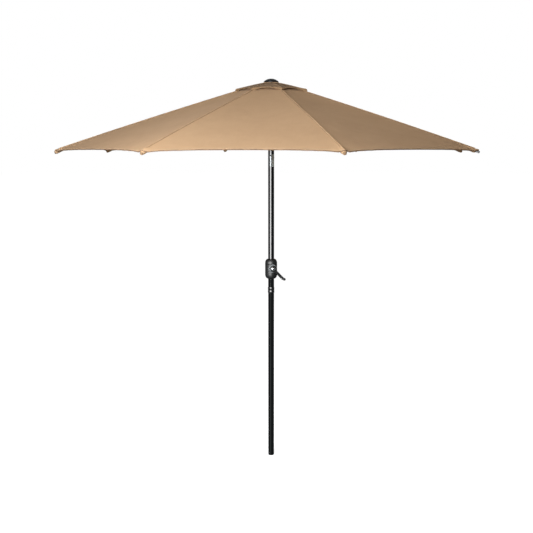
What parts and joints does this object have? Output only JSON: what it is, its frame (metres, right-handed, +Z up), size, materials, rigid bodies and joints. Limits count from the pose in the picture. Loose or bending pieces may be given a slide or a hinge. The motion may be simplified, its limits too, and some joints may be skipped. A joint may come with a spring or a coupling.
{
  "type": "patio umbrella",
  "caption": "Octagonal market umbrella with a vented fabric canopy, folding ribs, crank lift, push-button tilt joint and two-piece round pole.",
  "frame": {"origin": "centre of the pole's lower end, on the end plug's flat face", "axes": "+Z up along the pole, crank and front rib towards -Y"},
  "size_m": [2.6626, 2.6626, 2.438],
  "materials": {
    "canopy_fabric": "plain-woven polyester, tan",
    "black_metal": "black powder coat, satin",
    "silver_joint": "polished die casting",
    "steel": "bright plated",
    "grey_plastic": "grey moulded",
    "black_plastic": "black moulded, light sheen"
  },
  "bodies": {
    "lower_pole": {"pole_end_plug": "black_plastic", "lower_pole_tube": "black_metal", "pole_collar": "black_plastic"},
    "mast": {"mast_tube": "black_metal", "tilt_yoke": "silver_joint", "tilt_pin": "steel", "crank_housing_lower": "black_plastic", "crank_housing_upper": "black_plastic", "crank_bezel": "grey_plastic", "housing_screw_low": "steel", "housing_screw_high": "steel"},
    "crank": {"crank_shaft": "steel", "crank_arm": "black_plastic", "crank_cap": "steel"},
    "knob": {"crank_knob": "black_plastic"},
    "upper_pole": {"tilt_block": "silver_joint", "upper_pole_tube": "black_metal", "top_hub": "black_plastic", "pulley_pin": "steel", "finial": "black_plastic", "vent_canopy": "canopy_fabric"},
    "pulley": {"top_pulley": "black_plastic"},
    "button": {"tilt_button": "black_plastic"},
    "runner": {"runner_sleeve": "black_plastic", "runner_collar": "black_plastic"},
    "rib_arm_1": {"rib_1": "black_metal", "rib_tip_1": "black_plastic", "canopy_sector_1": "canopy_fabric"},
    "strut_arm_1": {"strut_1": "black_metal"},
    "rib_arm_2": {"rib_2": "black_metal", "rib_tip_2": "black_plastic", "canopy_sector_2": "canopy_fabric"},
    "strut_arm_2": {"strut_2": "black_metal"},
    "rib_arm_3": {"rib_3": "black_metal", "rib_tip_3": "black_plastic", "canopy_sector_3": "canopy_fabric"},
    "strut_arm_3": {"strut_3": "black_metal"},
    "rib_arm_4": {"rib_4": "black_metal", "rib_tip_4": "black_plastic", "canopy_sector_4": "canopy_fabric"},
    "strut_arm_4": {"strut_4": "black_metal"},
    "rib_arm_5": {"rib_5": "black_metal", "rib_tip_5": "black_plastic", "canopy_sector_5": "canopy_fabric"},
    "strut_arm_5": {"strut_5": "black_metal"},
    "rib_arm_6": {"rib_6": "black_metal", "rib_tip_6": "black_plastic", "canopy_sector_6": "canopy_fabric"},
    "strut_arm_6": {"strut_6": "black_metal"},
    "rib_arm_7": {"rib_7": "black_metal", "rib_tip_7": "black_plastic", "canopy_sector_7": "canopy_fabric"},
    "strut_arm_7": {"strut_7": "black_metal"},
    "rib_arm_8": {"rib_8": "black_metal", "rib_tip_8": "black_plastic", "canopy_sector_8": "canopy_fabric"},
    "strut_arm_8": {"strut_8": "black_metal"}
  },
  "joints": [
    {"name": "mast_swivel", "type": "hinge", "parent": "lower_pole", "child": "mast", "pos_m": [0, 0, 1.122], "axis": [0, 0, 1], "continuous": true},
    {"name": "canopy_tilt", "type": "hinge", "parent": "mast", "child": "upper_pole", "pos_m": [0, 0, 1.931], "axis": [1, 0, 0], "range_deg": [-30, 0]},
    {"name": "tilt_button_press", "type": "slide", "parent": "upper_pole", "child": "button", "axis": [-1, 0, 0], "range_m": [0, 0.003], "stiffness_N_per_m": 800},
    {"name": "crank_turn", "type": "hinge", "parent": "mast", "child": "crank", "pos_m": [0, 0, 1.246], "axis": [0, -1, 0], "range_deg": [0, 3910.39]},
    {"name": "knob_spin", "type": "hinge", "parent": "crank", "child": "knob", "pos_m": [0.06113, 0, 1.1827], "axis": [0, -1, 0], "continuous": true},
    {"name": "pulley_turn", "type": "hinge", "parent": "upper_pole", "child": "pulley", "pos_m": [0, 0.007, 2.372], "axis": [-1, 0, 0], "range_deg": [0, 4325.15]},
    {"name": "runner_slide", "type": "slide", "parent": "upper_pole", "child": "runner", "axis": [0, 0, -1], "range_m": [0, 0.71706], "deforming": ["vent_canopy"]},
    {"name": "rib_1_hinge", "type": "hinge", "parent": "upper_pole", "child": "rib_arm_1", "pos_m": [0, -0.036, 2.402], "axis": [1, 0, 0], "range_deg": [0, 65.49], "deforming": ["canopy_sector_1"]},
    {"name": "strut_1_hinge", "type": "hinge", "parent": "rib_arm_1", "child": "strut_arm_1", "pos_m": [0, -0.54224, 2.22754], "axis": [1, 0, 0], "range_deg": [-130.98, 0]},
    {"name": "rib_2_hinge", "type": "hinge", "parent": "upper_pole", "child": "rib_arm_2", "pos_m": [0.02546, -0.02546, 2.402], "axis": [0.7071, 0.7071, 0], "range_deg": [0, 65.49], "deforming": ["canopy_sector_2"]},
    {"name": "strut_2_hinge", "type": "hinge", "parent": "rib_arm_2", "child": "strut_arm_2", "pos_m": [0.38342, -0.38342, 2.22754], "axis": [0.7071, 0.7071, 0], "range_deg": [-130.98, 0]},
    {"name": "rib_3_hinge", "type": "hinge", "parent": "upper_pole", "child": "rib_arm_3", "pos_m": [0.036, 0, 2.402], "axis": [0, 1, 0], "range_deg": [0, 65.49], "deforming": ["canopy_sector_3"]},
    {"name": "strut_3_hinge", "type": "hinge", "parent": "rib_arm_3", "child": "strut_arm_3", "pos_m": [0.54224, 0, 2.22754], "axis": [0, 1, 0], "range_deg": [-130.98, 0]},
    {"name": "rib_4_hinge", "type": "hinge", "parent": "upper_pole", "child": "rib_arm_4", "pos_m": [0.02546, 0.02546, 2.402], "axis": [-0.7071, 0.7071, 0], "range_deg": [0, 65.49], "deforming": ["canopy_sector_4"]},
    {"name": "strut_4_hinge", "type": "hinge", "parent": "rib_arm_4", "child": "strut_arm_4", "pos_m": [0.38342, 0.38342, 2.22754], "axis": [-0.7071, 0.7071, 0], "range_deg": [-130.98, 0]},
    {"name": "rib_5_hinge", "type": "hinge", "parent": "upper_pole", "child": "rib_arm_5", "pos_m": [0, 0.036, 2.402], "axis": [-1, 0, 0], "range_deg": [0, 65.49], "deforming": ["canopy_sector_5"]},
    {"name": "strut_5_hinge", "type": "hinge", "parent": "rib_arm_5", "child": "strut_arm_5", "pos_m": [0, 0.54224, 2.22754], "axis": [-1, 0, 0], "range_deg": [-130.98, 0]},
    {"name": "rib_6_hinge", "type": "hinge", "parent": "upper_pole", "child": "rib_arm_6", "pos_m": [-0.02546, 0.02546, 2.402], "axis": [-0.7071, -0.7071, 0], "range_deg": [0, 65.49], "deforming": ["canopy_sector_6"]},
    {"name": "strut_6_hinge", "type": "hinge", "parent": "rib_arm_6", "child": "strut_arm_6", "pos_m": [-0.38342, 0.38342, 2.22754], "axis": [-0.7071, -0.7071, 0], "range_deg": [-130.98, 0]},
    {"name": "rib_7_hinge", "type": "hinge", "parent": "upper_pole", "child": "rib_arm_7", "pos_m": [-0.036, 0, 2.402], "axis": [0, -1, 0], "range_deg": [0, 65.49], "deforming": ["canopy_sector_7"]},
    {"name": "strut_7_hinge", "type": "hinge", "parent": "rib_arm_7", "child": "strut_arm_7", "pos_m": [-0.54224, 0, 2.22754], "axis": [0, -1, 0], "range_deg": [-130.98, 0]},
    {"name": "rib_8_hinge", "type": "hinge", "parent": "upper_pole", "child": "rib_arm_8", "pos_m": [-0.02546, -0.02546, 2.402], "axis": [0.7071, -0.7071, 0], "range_deg": [0, 65.49], "deforming": ["canopy_sector_8"]},
    {"name": "strut_8_hinge", "type": "hinge", "parent": "rib_arm_8", "child": "strut_arm_8", "pos_m": [-0.38342, -0.38342, 2.22754], "axis": [0.7071, -0.7071, 0], "range_deg": [-130.98, 0]}
  ],
  "couplings": [
    {"joint": "crank_turn", "follows": "runner_slide", "rad_per_m": 95.169},
    {"joint": "pulley_turn", "follows": "runner_slide", "rad_per_m": 105.26},
    {"joint": "rib_1_hinge", "follows": "runner_slide", "rad_per_m": 1.5939},
    {"joint": "strut_1_hinge", "follows": "runner_slide", "rad_per_m": -3.1878},
    {"joint": "rib_2_hinge", "follows": "runner_slide", "rad_per_m": 1.5939},
    {"joint": "strut_2_hinge", "follows": "runner_slide", "rad_per_m": -3.1878},
    {"joint": "rib_3_hinge", "follows": "runner_slide", "rad_per_m": 1.5939},
    {"joint": "strut_3_hinge", "follows": "runner_slide", "rad_per_m": -3.1878},
    {"joint": "rib_4_hinge", "follows": "runner_slide", "rad_per_m": 1.5939},
    {"joint": "strut_4_hinge", "follows": "runner_slide", "rad_per_m": -3.1878},
    {"joint": "rib_5_hinge", "follows": "runner_slide", "rad_per_m": 1.5939},
    {"joint": "strut_5_hinge", "follows": "runner_slide", "rad_per_m": -3.1878},
    {"joint": "rib_6_hinge", "follows": "runner_slide", "rad_per_m": 1.5939},
    {"joint": "strut_6_hinge", "follows": "runner_slide", "rad_per_m": -3.1878},
    {"joint": "rib_7_hinge", "follows": "runner_slide", "rad_per_m": 1.5939},
    {"joint": "strut_7_hinge", "follows": "runner_slide", "rad_per_m": -3.1878},
    {"joint": "rib_8_hinge", "follows": "runner_slide", "rad_per_m": 1.5939},
    {"joint": "strut_8_hinge", "follows": "runner_slide", "rad_per_m": -3.1878}
  ]
}
